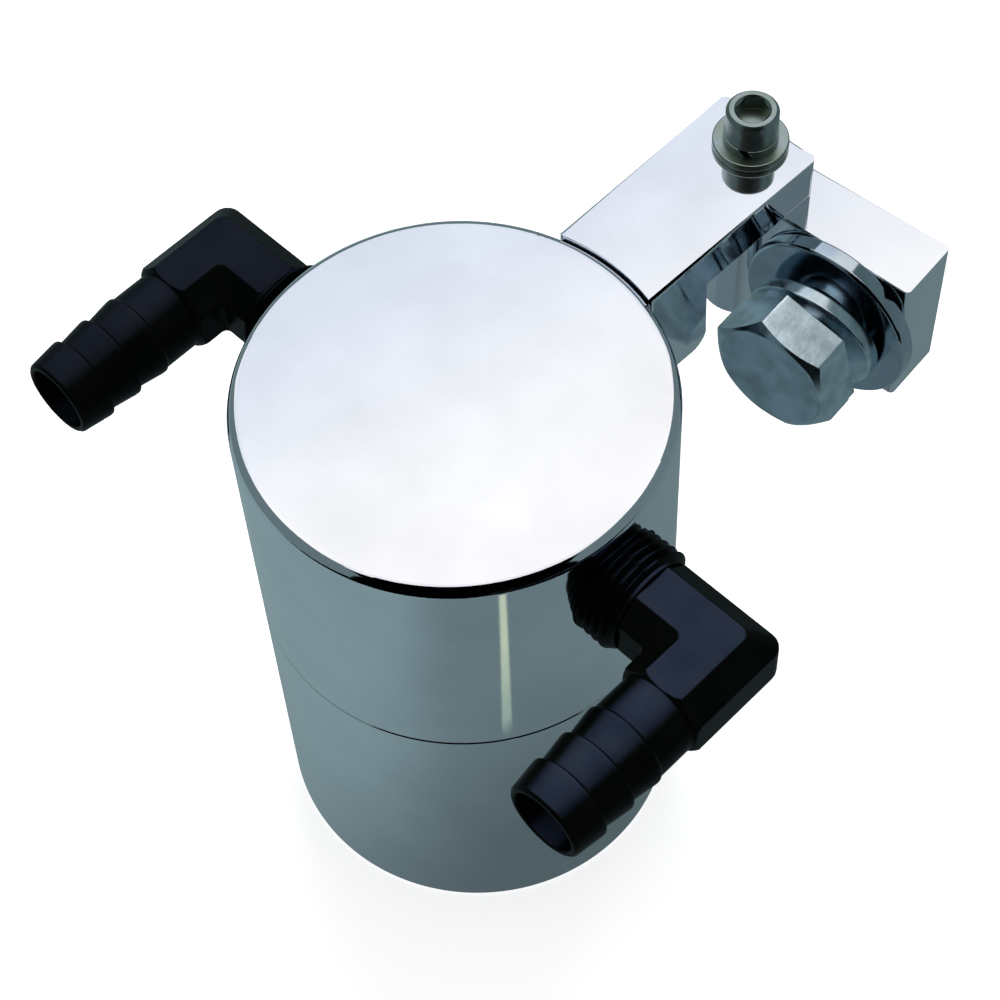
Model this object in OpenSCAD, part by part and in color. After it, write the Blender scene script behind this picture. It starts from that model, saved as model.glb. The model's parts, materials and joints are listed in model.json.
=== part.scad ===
// Oil catch can for a car's crankcase breather hose: a turned aluminium can in
// two halves, two plastic elbow hose fittings, a baffle cartridge inside, and a
// bracket arm with a swing link that takes the mounting bolt.
//
// Millimetres. The origin is the centre of the can's flat base and +Z is up.
// The bracket arm reaches along +Y, the inlet port faces +X, the outlet port
// faces -X, and both hose ends point along -Y.

/* [Can] */
// Outside diameter of the can
can_d = 63.5; // [60:0.5:76]
// Height of the lower bowl, from its base to the seam
bowl_h = 54.5; // [45:0.5:90]
// Height of the upper body, from the seam to the top
upper_h = 43.5; // [43:0.5:55]
// Height of the solid metal that the ports are drilled into
head_h = 26; // [25:0.5:27]
// Rounding of the top rim
rim_r = 1.8; // [0.4:0.1:3]
// Chamfer round the bottom edge
base_chamfer = 0.6; // [0.2:0.1:1.5]
// Chamfer on each side of the seam
seam_chamfer = 0.2; // [0.1:0.05:0.4]
// Wall of the upper body round the threaded joint
skirt_wall = 2.75; // [2:0.25:3.5]
// Wall of the threaded neck on the bowl
neck_wall = 2.95; // [2.6:0.05:4]
// Height of the threaded neck on the bowl
neck_h = 12; // [10:0.5:14]
// Thickness of the bowl's floor
floor_t = 4; // [2:0.5:8]
// Radial clearance of the threaded joint
neck_gap = 0.05; // [0.03:0.01:0.09]
// Chamfer at the neck's upper edge
neck_chamfer = 1; // [0.5:0.1:1.5]
// Least gap between the neck and the solid metal above it
neck_room = 0.5; // [0.2:0.1:1]

/* [Bowl seal] */
// Thickness of the ring's round section
seal_d = 1.6; // [1.2:0.1:2]
// Clearance between the ring and its groove
seal_gap = 0.1; // [0.05:0.01:0.2]
// Height of the groove's lower edge over the seam
seal_rise = 1; // [0.6:0.1:2]

/* [Ports] */
// Depth of the port centres below the top
port_drop = 14; // [12:0.5:15]
// Outside diameter of the fittings' taper thread at its large end
thread_d = 17.1; // [15:0.1:18]
// Pitch of the taper thread
thread_pitch = 1.41; // [1:0.01:2]
// Number of turns on the thread
thread_turns = 10; // [8:1:11]
// Depth of the thread
thread_depth = 1.1; // [0.6:0.1:1.3]
// Length of the tapped bore past the thread's inner end
thread_runout = 2; // [1:0.5:3]
// Length of thread left showing outside the can
thread_show = 5; // [3:0.5:7]
// Radial clearance of a screwed joint
thread_gap = 0.05; // [0.02:0.01:0.1]
// Distance of the vertical passages from the can's centre
passage_x = 16; // [14.5:0.5:16.5]
// Diameter of the vertical passages
passage_d = 12; // [10:0.5:13]

/* [Elbow fittings] */
// Height and width of the eight-sided elbow body
body_w = 13.5; // [12.8:0.1:16]
// Width of the flat along the body's top
body_flat = 6.4; // [4:0.1:8]
// Length of the plain collar between thread and body
collar_l = 0.6; // [0.3:0.1:1.5]
// Length from the body's start to the hose end's axis
body_l = 11.85; // [9:0.05:14]
// Reach of the body along the hose end, from the port's axis
body_reach = 11.2; // [9:0.1:15]
// Rounding of the body's outer corner
corner_r = 1; // [0.5:0.5:5]
// Bore of the fitting
hose_bore = 10.2; // [8:0.1:11]
// Diameter of the round neck behind the barbs
neck_d = 12.8; // [12.6:0.1:13.2]
// Length of the round neck, up to the first barb
neck_l = 6.4; // [4:0.1:8]
// Diameter over the barbs
barb_d = 13.4; // [12.8:0.1:15]
// Diameter at the foot of each barb
barb_root_d = 12.1; // [11.6:0.1:12.6]
// Diameter at the open tip
barb_tip_d = 12.3; // [11.8:0.1:12.8]
// Spacing of the barbs
barb_pitch = 5.25; // [4:0.05:7]
// Number of barbs
barb_count = 3; // [2:1:5]
// Width of the cylindrical land on each barb
barb_land = 0.5; // [0.2:0.1:1]
// Width of the step behind each barb
barb_step = 0.4; // [0.2:0.1:0.8]
// Length from the last barb's step to the open tip
barb_lead = 5.7; // [4:0.1:7]
// Chamfer at the open tip
tip_chamfer = 0.4; // [0.2:0.1:0.6]

/* [Baffle cartridge] */
// Height of the baffle plate's top over the seam
plate_rise = 3.5; // [2:0.5:5]
// Wall of the drop tube, which is pressed into the inlet passage
tube_wall = 1; // [0.6:0.1:1.5]
// Depth that the drop tube is pressed in
tube_press = 3.4; // [2:0.1:3.5]
// Reach of the drop tube below the baffle plate
tube_below = 6.5; // [3:0.5:20]
// Width across flats of the standoffs
standoff_af = 5; // [4.5:0.1:5.5]
// Distance of the standoffs from the can's centre
standoff_r = 19.8; // [19.6:0.1:20.5]
// Diameter of the standoff studs and baffle screws
m3_d = 2.9; // [2.4:0.1:3]
// Length of each stud above its standoff
stud_l = 3; // [2:0.1:3.3]
// Depth of the tapped hole past the stud's end
stud_runout = 0.3; // [0.2:0.1:0.6]
// Depth of the tapped hole in each standoff
standoff_tap = 6; // [5:0.5:8]
// Length of each baffle screw inside its standoff
screw_grip = 4; // [3:0.5:4.5]
// Height of the baffle screws' heads
baffle_head_h = 1.8; // [1.4:0.1:2.4]
// Thickness of the baffle plate
plate_t = 1.5; // [1:0.1:2.5]
// Diameter of the holes in the baffle plate
plate_hole_d = 4; // [3:0.1:4.5]
// Thickness of the filter pad
pad_t = 8; // [5:0.5:9]
// Thickness of the top screen
screen_t = 1; // [0.6:0.1:1.5]
// Diameter of the holes in the top screen
screen_hole_d = 3; // [2.5:0.1:4.5]
// Spacing of the holes in both plates
hole_pitch = 6; // [5.5:0.5:8]
// Radial gap between the cartridge and the neck's bore
cartridge_gap = 0.6; // [0.4:0.1:1.2]
// Gap between stacked pieces
stack_gap = 0.05; // [0.02:0.01:0.2]
// Least gap between the top screen and the solid metal above it
screen_room = 0.5; // [0.2:0.1:1]

/* [Bracket arm] */
// Width of the arm
arm_w = 18.2; // [17:0.1:22]
// Thickness of the arm
arm_t = 8; // [6:0.5:9]
// Distance from the can's axis to the pivot
pivot_y = 62; // [61.8:0.1:75]
// Length of the arm past the pivot
arm_past = 4.6; // [4:0.1:12]
// Rounding of the arm's two free corners
arm_corner_r = 1.2; // [0.4:0.1:4]
// Height of the foot, measured from the top of the arm
foot_h = 22; // [21.5:0.5:26]
// Thickness of the foot at its middle, outside the can
foot_t = 11.4; // [9.5:0.1:11.5]
// Rounding of the foot's lower outer edge
foot_r = 3; // [1:0.5:4]
// Gap between the foot's hollow face and the can
seat_gap = 0.05; // [0.02:0.01:0.2]

/* [Foot screws] */
// Diameter of the two screws through the foot
foot_screw_d = 4; // [3:0.5:4]
// Head diameter of the foot screws
foot_head_d = 7; // [6:0.1:7.2]
// Head height of the foot screws
foot_head_h = 4; // [3:0.1:5]
// Length of the foot screws under the head
foot_screw_l = 16; // [12:1:18]
// Spacing of the foot screws
foot_screw_gap = 8.8; // [8:0.1:9.4]
// Depth of the screws' heads below the foot's face
foot_head_sink = 0.6; // [0.2:0.1:1]
// Radial clearance of the foot screws in their holes
foot_hole_gap = 0.2; // [0.1:0.05:0.4]
// Radial clearance of the heads in their counterbores
foot_head_gap = 0.3; // [0.1:0.05:0.4]
// Drop of the foot screws below the top
foot_screw_drop = 15.5; // [13.5:0.1:16.5]

/* [Swing link] */
// Height of the link
link_h = 25.5; // [25:0.5:30]
// Thickness of the link's flat part
link_t = 10.9; // [8:0.1:12]
// Length of the link from the pivot to its free end
link_l = 31.3; // [30:0.1:40]
// Diameter of the round boss at the pivot
boss_d = 12.6; // [11.5:0.1:12.8]
// Distance from the pivot's axis to the link's back face
link_back = 7.7; // [7:0.1:9]
// Turn of the link from +X, as it is set in the photograph
link_turn = 5; // [2:1:15]
// Rounding of the link's free upright edges
link_corner_r = 0.8; // [0.3:0.1:3]
// Distance from the pivot to the mounting bolt
bolt_reach = 19.5; // [19.4:0.1:22]

/* [Pivot screw] */
// Diameter of the pivot screw
pivot_d = 4.8; // [4:0.1:6]
// Running clearance round the pivot screw, on radius
pivot_gap = 0.05; // [0.02:0.01:0.09]
// Length of the pivot screw under the head
pivot_l = 20; // [18:0.5:22]
// Head diameter of the pivot screw
pivot_head_d = 7.9; // [7.4:0.1:9]
// Head height of the pivot screw
pivot_head_h = 5; // [4:0.1:6]
// Width across flats of the hexagon socket
socket_af = 4.6; // [3:0.1:5]
// Depth of the hexagon socket
socket_depth = 2.6; // [1.5:0.1:3]
// Turn of the socket about the screw
socket_turn = 37; // [0:1:59]
// Depth of the tapped hole past the screw's end
pivot_runout = 2; // [1:0.5:3]
// Chamfer round the top of the head
pivot_head_chamfer = 0.5; // [0.2:0.1:0.8]
// Depth of the countersink at the socket's mouth
socket_sink = 0.45; // [0.2:0.05:0.6]
// Radial clearance of the flat washer on the screw
pivot_washer_gap = 0.25; // [0.1:0.05:0.4]
// Radial clearance of the lock washer on the screw
pivot_lock_gap = 0.2; // [0.1:0.05:0.4]
// Width of the cut through the lock washer
lock_cut_w = 1; // [0.6:0.1:1.4]
// Outside diameter of the pivot's flat washer
pivot_washer_d = 11.4; // [10:0.1:13]
// Thickness of the pivot's flat washer
pivot_washer_t = 1.3; // [0.8:0.1:1.6]
// Outside diameter of the pivot's lock washer
pivot_lock_d = 8.2; // [8:0.1:9.5]
// Thickness of the pivot's lock washer
pivot_lock_t = 1.3; // [0.8:0.1:1.6]

/* [Mounting bolt] */
// Thread diameter of the mounting bolt
bolt_d = 12; // [10:0.5:12]
// Length of the bolt under the head
bolt_l = 25; // [23:1:35]
// Width across flats of the head
bolt_af = 19; // [17:0.5:19]
// Height of the head
bolt_head_h = 7.5; // [6:0.1:8]
// Height of the narrower band under the head
bolt_band_h = 1.7; // [0.8:0.1:2.2]
// Step from the head's sides to that band
bolt_band_step = 0.15; // [0.05:0.05:0.3]
// Turn of the head about its axis
bolt_turn = 14.5; // [0:0.5:60]
// Chamfer at the thread's end
bolt_end_chamfer = 1.3; // [0.5:0.1:2]
// Diameter of the plain cylinder that stands for the free end's thread
bolt_thread_d = 11.6; // [9.5:0.1:11.6]
// Gap between the link's back face and the start of that thread
bolt_proud = 0.5; // [0.2:0.1:1]
// Radial clearance of the bolt in the link
bolt_gap = 0.3; // [0.1:0.05:0.5]
// Outside diameter of the flat washer
washer_d = 28.6; // [22:0.1:29]
// Thickness of the flat washer
washer_t = 2.8; // [1.5:0.1:3]
// Rounding of the flat washer's outer edges
washer_edge = 0.5; // [0.2:0.1:0.7]
// Radial clearance of the washers on the bolt
washer_gap = 0.5; // [0.3:0.05:0.6]
// Slack on each side of the washers, which lie loose on the bolt
washer_slack = 0.2; // [0.1:0.05:0.4]
// Outside diameter of the spring washer
spring_d = 21.1; // [19:0.1:22]
// Thickness of the spring washer's coil
spring_t = 2.5; // [1.5:0.1:3]
// Free height of the spring washer
spring_h = 5; // [4.5:0.1:6]
// Lean of the loose spring washer on the bolt
spring_lean = 11; // [0:1:12]

/* [Hidden] */

$fn = 96;
past = 1;
metal = [0.80, 0.82, 0.86];
steel = [0.55, 0.60, 0.66];
black_steel = [0.16, 0.17, 0.19];
plastic = [0.06, 0.065, 0.09];

can_r = can_d / 2;
can_h = bowl_h + upper_h;
skirt_bore_r = can_r - skirt_wall;
neck_r = skirt_bore_r - neck_gap;
bowl_bore_r = neck_r - neck_wall;
head_z = can_h - head_h;

port_z = can_h - port_drop;
thread_r = thread_d / 2;
thread_taper = 1 / 32;
thread_l = thread_turns * thread_pitch;
thread_out_x = can_r + thread_show;
thread_in_x = thread_out_x - thread_l;
port_bore_r = thread_r - thread_show * thread_taper + thread_gap;
port_tap_x = thread_in_x - thread_runout;

body_r = body_w / 2;
body_x = thread_out_x + collar_l;
barb_x = body_x + body_l;
barb_tip_y = neck_l + barb_pitch * (barb_count - 1) + barb_lead;

// The neck and the baffle cartridge keep clear of the solid metal above them.
neck_top_z = min(bowl_h + neck_h, head_z - neck_room);

cartridge_r = bowl_bore_r - cartridge_gap;
stack_h = pad_t + screen_t + 2 * stack_gap;
plate_top_z = min(bowl_h + plate_rise, head_z - screen_room - stack_h);
standoff_l = head_z - plate_top_z;
tube_z = plate_top_z - plate_t - tube_below;
pad_z = plate_top_z + stack_gap;
screen_z = pad_z + pad_t + stack_gap;
standoff_angles = [90, 210, 330];
m3_r = m3_d / 2;
m3_hole_r = m3_r + thread_gap;

foot_y = can_r + foot_t;
foot_seat_y = foot_y - foot_head_h - foot_head_sink;
foot_screw_z = can_h - foot_screw_drop;
foot_screw_end_y = foot_seat_y - foot_screw_l;

link_top_z = can_h - arm_t;
link_z = link_top_z - link_h;
link_front = link_back - link_t;
heel_r = (link_back + boss_d / 2) / 2;
heel_in = link_back - heel_r;
bolt_z = link_z + link_h / 2;
spring_steps = 60;
spring_sweep = 352;
spring_start = 160;
spring_toward = 55;
washer_seat = link_front - washer_slack - washer_t;
head_seat = washer_seat - 2 * washer_slack - max(spring_rise()) - spring_t + min(spring_rise());
pivot_seat_z = can_h + pivot_washer_t + pivot_lock_t;
bolt_hole_r = bolt_d / 2 + bolt_gap;

// The solid that a 2D corner loses when it is rounded with radius r. The
// corner points along +X and +Y and the arc's centre is the origin.
module corner_waste(r) {
    difference() {
        square(r + past);
        circle(r);
    }
}

// The same for an upright edge, from z = 0 to z = h.
module edge_waste(r, h) {
    linear_extrude(h) corner_waste(r);
}

// An octagon with flats of the body's height and a chosen top flat.
module body_section() {
    f = body_flat / 2;
    polygon([[f, body_r], [body_r, f], [body_r, -f], [f, -body_r],
             [-f, -body_r], [-body_r, -f], [-body_r, f], [-f, body_r]]);
}

// A split ring: a flat washer with a slanted cut through one side.
module split_ring(outer_d, inner_r, t, cut_w) {
    difference() {
        cylinder(h = t, d = outer_d);
        translate([0, 0, -past]) cylinder(h = t + 2 * past, r = inner_r);
        translate([outer_d / 4, 0, t / 2]) rotate([35, 0, 0])
            cube([outer_d, cut_w, 4 * t], center = true);
    }
}

// Puts its children on the three standoff centres.
module at_standoffs() {
    for (a = standoff_angles)
        rotate([0, 0, a]) translate([standoff_r, 0, 0]) children();
}

// Puts its children where the swing link's frame is: X runs along the link
// from the pivot, Y points away from the bolt's head.
module in_link_frame() {
    translate([0, pivot_y, 0]) rotate([0, 0, link_turn]) children();
}

// Puts its children on the mounting bolt's axis, with Z along the bolt from
// the head to the thread and zero at the pivot's plane.
module on_bolt_axis() {
    in_link_frame() translate([bolt_reach, 0, bolt_z]) rotate([-90, 0, 0]) children();
}

module upper_body() {
    color(metal) difference() {
        rotate_extrude() difference() {
            translate([0, bowl_h]) square([can_r, upper_h]);
            translate([can_r - rim_r, can_h - rim_r]) corner_waste(rim_r);
            translate([0, bowl_h - past]) square([skirt_bore_r, upper_h - head_h + past]);
            translate([can_r, bowl_h]) rotate(45)
                square(seam_chamfer * sqrt(2), center = true);
            translate([skirt_bore_r, bowl_h]) rotate(45)
                square(4 * seam_chamfer * sqrt(2), center = true);
        }
        for (side = [0, 180]) rotate([0, 0, side]) {
            // Tapped port, drilled on past the vertical passage
            translate([port_tap_x, 0, port_z]) rotate([0, 90, 0])
                cylinder(h = can_r, r = port_bore_r);
            translate([passage_x, 0, port_z]) rotate([0, 90, 0])
                cylinder(h = port_tap_x - passage_x + past, d = hose_bore);
            translate([passage_x, 0, head_z - past])
                cylinder(h = port_drop + head_h - 2 * port_drop + past, d = passage_d);
        }
        at_standoffs() translate([0, 0, head_z - past])
            cylinder(h = stud_l + stud_runout + past, r = m3_hole_r);
        for (side = [-1, 1])
            translate([side * foot_screw_gap / 2, foot_screw_end_y - 1, foot_screw_z])
                rotate([-90, 0, 0]) cylinder(h = can_r, d = foot_screw_d + 2 * thread_gap);
    }
}

module lower_bowl() {
    groove_r = neck_r - seal_d - seal_gap + neck_gap;
    color(metal) difference() {
        rotate_extrude() difference() {
            union() {
                square([can_r, bowl_h]);
                square([neck_r, neck_top_z]);
            }
            translate([0, floor_t]) square([bowl_bore_r, can_h]);
            translate([can_r, 0]) rotate(45)
                square(base_chamfer * sqrt(2), center = true);
            translate([can_r, bowl_h]) rotate(45)
                square(seam_chamfer * sqrt(2), center = true);
            translate([neck_r, neck_top_z]) rotate(45)
                square(neck_chamfer * sqrt(2), center = true);
            translate([groove_r, bowl_h + seal_rise])
                square([can_r, seal_d + 2 * seal_gap]);
        }
    }
}

module bowl_seal() {
    color("black") translate([0, 0, bowl_h + seal_rise + seal_gap + seal_d / 2])
        rotate_extrude() translate([skirt_bore_r - neck_gap - seal_d / 2, 0])
            circle(d = seal_d, $fn = 32);
}

// Outline of the taper thread from the plug end at zero, as closed rings of
// the real thread's pitch, depth and taper.
function thread_points() = concat(
    [[0, 0]],
    [for (i = [0 : thread_turns - 1], k = [0 : 3])
        let (x = (i + [0.06, 0.44, 0.56, 0.94][k]) * thread_pitch,
             crest = thread_r - (thread_l - x) * thread_taper)
        [crest - (k == 0 || k == 3 ? thread_depth : 0), x]],
    [[thread_r - thread_depth, thread_l], [thread_r - thread_depth, thread_l + collar_l],
     [0, thread_l + collar_l]]);

// Outline of the round neck and the barbs from the elbow body at zero, with
// the neck's root inside the body. Each barb rises slowly from the tip side
// and drops in a step that grips the hose.
function barb_points() = concat(
    [[0, -past], [neck_d / 2, -past]],
    [for (i = [0 : barb_count - 1], k = [0 : 2])
        let (foot_d = i == 0 ? neck_d : barb_root_d)
        [[foot_d, barb_d, barb_d][k] / 2,
         neck_l + barb_pitch * i + [0, barb_step, barb_step + barb_land][k]]],
    [[barb_tip_d / 2, barb_tip_y - tip_chamfer],
     [barb_tip_d / 2 - tip_chamfer, barb_tip_y], [0, barb_tip_y]]);

// The elbow body's leg on the port's axis, from the collar.
module port_leg(l) {
    translate([body_x, 0, 0]) rotate([90, 0, 90]) linear_extrude(l) body_section();
}

// Its leg on the hose's axis, which starts a distance past the port's axis.
module hose_leg(start) {
    translate([barb_x, start, 0]) rotate([90, 0, 0])
        linear_extrude(start + body_reach) body_section();
}

module elbow_body() {
    difference() {
        union() {
            // Each leg up to the other's axis
            port_leg(body_l);
            hose_leg(0);
            // The outer corner, mitred where the two cross
            intersection() {
                port_leg(body_l + body_r);
                hose_leg(body_r);
            }
        }
        translate([barb_x + body_r - corner_r, body_r - corner_r, -body_w])
            edge_waste(corner_r, 2 * body_w);
    }
}

// One elbow fitting on the +X port, hose end along -Y.
module elbow_fitting() {
    color(plastic) translate([0, 0, port_z]) difference() {
        union() {
            translate([thread_in_x, 0, 0]) rotate([0, 90, 0])
                rotate_extrude() polygon(thread_points());
            elbow_body();
            translate([barb_x, -body_reach, 0]) rotate([90, 0, 0])
                rotate_extrude() polygon(barb_points());
        }
        translate([thread_in_x - past, 0, 0]) rotate([0, 90, 0])
            cylinder(h = barb_x - thread_in_x + past, d = hose_bore);
        translate([barb_x, 0, 0]) rotate([90, 0, 0])
            cylinder(h = body_reach + barb_tip_y + past, d = hose_bore);
        translate([barb_x, 0, 0]) sphere(d = hose_bore);
    }
}

module inlet_elbow() {
    elbow_fitting();
}

module outlet_elbow() {
    mirror([1, 0, 0]) elbow_fitting();
}

module drop_tube() {
    tube_r = passage_d / 2 - thread_gap;
    tube_l = head_z + tube_press - tube_z;
    color("silver") translate([passage_x, 0, tube_z]) difference() {
        cylinder(h = tube_l, r = tube_r);
        translate([0, 0, -past]) cylinder(h = tube_l + 2 * past, r = tube_r - tube_wall);
    }
}

// True where a hole of diameter d keeps a bridge of metal to the rim, the drop
// tube and the standoffs.
function hole_fits(p, d) =
    norm(p) < cartridge_r - d / 2 - 1 &&
    norm(p - [passage_x, 0]) > (passage_d + d) / 2 + 1 &&
    min([for (a = standoff_angles) norm(p - standoff_r * [cos(a), sin(a)])])
        > (standoff_af + d) / 2 + 1;

// A round plate with a grid of holes, cut out for the drop tube and, with
// post_r, for what passes at the standoffs.
module drilled_plate(t, hole_d, post_r) {
    rows = ceil(cartridge_r / hole_pitch);
    difference() {
        cylinder(h = t, r = cartridge_r);
        translate([passage_x, 0, -past])
            cylinder(h = t + 2 * past, r = passage_d / 2 + cartridge_gap / 2);
        at_standoffs() translate([0, 0, -past]) cylinder(h = t + 2 * past, r = post_r);
        for (i = [-rows : rows], j = [-rows : rows]) {
            p = [(i + (j % 2) / 2) * hole_pitch, j * hole_pitch * sqrt(3) / 2];
            if (hole_fits(p, hole_d))
                translate([p[0], p[1], -past])
                    cylinder(h = t + 2 * past, d = hole_d, $fn = 24);
        }
    }
}

module top_screen() {
    color("lightsteelblue") translate([0, 0, screen_z])
        drilled_plate(screen_t, screen_hole_d, standoff_af / sqrt(3) + cartridge_gap / 2);
}

module baffle_plate() {
    color("lightsteelblue") translate([0, 0, plate_top_z - plate_t])
        drilled_plate(plate_t, plate_hole_d, m3_r + stack_gap * 4);
}

module filter_pad() {
    color("gray") translate([0, 0, pad_z]) difference() {
        cylinder(h = pad_t, r = cartridge_r);
        translate([passage_x, 0, -past])
            cylinder(h = pad_t + 2 * past, r = passage_d / 2 + cartridge_gap / 2);
        at_standoffs() translate([0, 0, -past])
            cylinder(h = pad_t + 2 * past, r = standoff_af / sqrt(3) + cartridge_gap / 2);
    }
}

module standoffs() {
    color("silver") at_standoffs() difference() {
        union() {
            translate([0, 0, plate_top_z])
                cylinder(h = standoff_l, r = standoff_af / sqrt(3), $fn = 6);
            translate([0, 0, head_z]) cylinder(h = stud_l, r = m3_r);
        }
        translate([0, 0, plate_top_z - past]) cylinder(h = standoff_tap + past, r = m3_hole_r);
    }
}

module baffle_screws() {
    screw_l = screw_grip + plate_t;
    head_r = m3_d;
    color("silver") at_standoffs()
        translate([0, 0, plate_top_z - plate_t]) difference() {
            union() {
                cylinder(h = screw_l, r = m3_r);
                translate([0, 0, -baffle_head_h]) cylinder(h = baffle_head_h, r = head_r);
            }
            translate([0, 0, -baffle_head_h - past])
                cylinder(h = past + baffle_head_h / 2, r = head_r / 2, $fn = 6);
        }
}

module bracket_arm() {
    arm_end = pivot_y + arm_past;
    color(metal) difference() {
        union() {
            translate([-arm_w / 2, 0, can_h - arm_t]) cube([arm_w, arm_end, arm_t]);
            translate([-arm_w / 2, 0, can_h - foot_h]) cube([arm_w, foot_y, foot_h]);
        }
        // Hollow face that hugs the can
        translate([0, 0, can_h - foot_h - past])
            cylinder(h = foot_h + 2 * past, r = can_r + seat_gap);
        // Rounded free corners of the arm
        for (side = [0, 1]) mirror([side, 0, 0])
            translate([arm_w / 2 - arm_corner_r, arm_end - arm_corner_r, can_h - arm_t - past])
                edge_waste(arm_corner_r, arm_t + 2 * past);
        // Rounded lower edge of the foot
        translate([-arm_w, foot_y - foot_r, can_h - foot_h + foot_r]) rotate([90, 0, 90])
            mirror([0, 1, 0]) edge_waste(foot_r, 2 * arm_w);
        // Hole for the pivot screw
        translate([0, pivot_y, can_h - arm_t - past])
            cylinder(h = arm_t + 2 * past, r = pivot_d / 2 + pivot_gap);
        // Counterbored holes for the foot screws
        for (side = [-1, 1])
            translate([side * foot_screw_gap / 2, 0, foot_screw_z]) rotate([-90, 0, 0]) {
                cylinder(h = foot_y + past, r = foot_screw_d / 2 + foot_hole_gap);
                translate([0, 0, foot_seat_y])
                    cylinder(h = foot_t, r = foot_head_d / 2 + foot_head_gap);
            }
    }
}

module foot_screws() {
    color(black_steel) for (side = [-1, 1])
        translate([side * foot_screw_gap / 2, foot_seat_y, foot_screw_z]) rotate([-90, 0, 0])
            difference() {
                union() {
                    translate([0, 0, -foot_screw_l]) cylinder(h = foot_screw_l, d = foot_screw_d);
                    cylinder(h = foot_head_h, d = foot_head_d);
                }
                translate([0, 0, foot_head_h / 2])
                    cylinder(h = foot_head_h, r = foot_head_d / 4, $fn = 6);
            }
}

module swing_link() {
    color(metal) in_link_frame() difference() {
        translate([0, 0, link_z]) linear_extrude(link_h) {
            circle(d = boss_d);
            // The wider round of the back corner, which meets the boss in a flat
            intersection() {
                translate([heel_in, heel_in]) circle(heel_r);
                translate([-boss_d, 0]) square(2 * boss_d);
            }
            translate([-boss_d / 2, 0]) square([boss_d / 2, heel_in]);
            translate([0, link_front]) square([link_l, link_t]);
        }
        translate([link_l - link_corner_r, link_back - link_corner_r, link_z - past])
            edge_waste(link_corner_r, link_h + 2 * past);
        translate([link_l - link_corner_r, link_front + link_corner_r, link_z - past])
            mirror([0, 1, 0]) edge_waste(link_corner_r, link_h + 2 * past);
        // Tapped hole for the pivot screw
        translate([0, 0, pivot_seat_z - pivot_l - pivot_runout])
            cylinder(h = pivot_l + past, r = pivot_d / 2 + thread_gap);
        // Clearance hole for the mounting bolt
        translate([bolt_reach, 0, bolt_z]) rotate([90, 0, 0])
            cylinder(h = 4 * link_t, r = bolt_hole_r, center = true);
    }
}

module pivot_screw() {
    edge = pivot_head_chamfer;
    sink = socket_sink + 0.05;
    color(black_steel) translate([0, pivot_y, pivot_seat_z]) difference() {
        union() {
            rotate_extrude() polygon([
                [0, 0], [pivot_head_d / 2, 0], [pivot_head_d / 2, pivot_head_h - edge],
                [pivot_head_d / 2 - edge, pivot_head_h], [0, pivot_head_h]]);
            translate([0, 0, -pivot_l]) cylinder(h = pivot_l, d = pivot_d);
        }
        translate([0, 0, pivot_head_h - socket_depth])
            rotate([0, 0, socket_turn])
                cylinder(h = socket_depth + past, r = socket_af / sqrt(3), $fn = 6);
        // Countersink at the socket's mouth
        translate([0, 0, pivot_head_h - socket_sink])
            cylinder(h = sink, r1 = socket_af / 2, r2 = socket_af / 2 + sink);
    }
}

module pivot_lock_washer() {
    color(black_steel) translate([0, pivot_y, can_h + pivot_washer_t]) rotate([0, 0, -60])
        split_ring(pivot_lock_d, pivot_d / 2 + pivot_lock_gap, pivot_lock_t, lock_cut_w);
}

module pivot_washer() {
    color(black_steel) translate([0, pivot_y, can_h]) difference() {
        cylinder(h = pivot_washer_t, d = pivot_washer_d);
        translate([0, 0, -past])
            cylinder(h = pivot_washer_t + 2 * past, r = pivot_d / 2 + pivot_washer_gap);
    }
}

module mounting_bolt() {
    face_r = 0.475 * bolt_af;
    thread_start = link_back + bolt_proud;
    thread_end = head_seat + bolt_l;
    corner_r = bolt_af / sqrt(3);
    slope = tan(30);
    color(steel) on_bolt_axis() {
        // Head: a hexagon with its corners turned off, and a narrower band
        // against the washer
        translate([0, 0, head_seat - bolt_head_h]) intersection() {
            rotate([0, 0, bolt_turn]) union() {
                cylinder(h = bolt_head_h - bolt_band_h, r = corner_r, $fn = 6);
                cylinder(h = bolt_head_h, r = corner_r - bolt_band_step, $fn = 6);
            }
            rotate_extrude() polygon([
                [0, 0], [face_r, 0], [corner_r + past, (corner_r + past - face_r) * slope],
                [corner_r + past, bolt_head_h], [0, bolt_head_h]]);
        }
        // Shank, stepping down where it leaves the link
        rotate_extrude() polygon([
            [0, head_seat - past], [bolt_d / 2, head_seat - past], [bolt_d / 2, link_back],
            [bolt_thread_d / 2, thread_start], [bolt_thread_d / 2, thread_end - bolt_end_chamfer],
            [bolt_thread_d / 2 - bolt_end_chamfer, thread_end], [0, thread_end]]);
    }
}

// The spring washer is one open turn of square wire, wound as a left-hand
// helix so that its sharp ends bite. It starts at spring_start about the bolt,
// and leans towards spring_toward.
function spring_angle(i) = spring_start - spring_sweep * i / spring_steps;

// How far the wire's inner and outer edges stand off the start's plane along the bolt.
function spring_off(i, r) =
    (spring_h - spring_t) * i / spring_steps
    + r * tan(spring_lean) * cos(spring_angle(i) - spring_toward);

function spring_rise() =
    [for (i = [0 : spring_steps], r = [bolt_d / 2 + washer_gap, spring_d / 2]) spring_off(i, r)];

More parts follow.
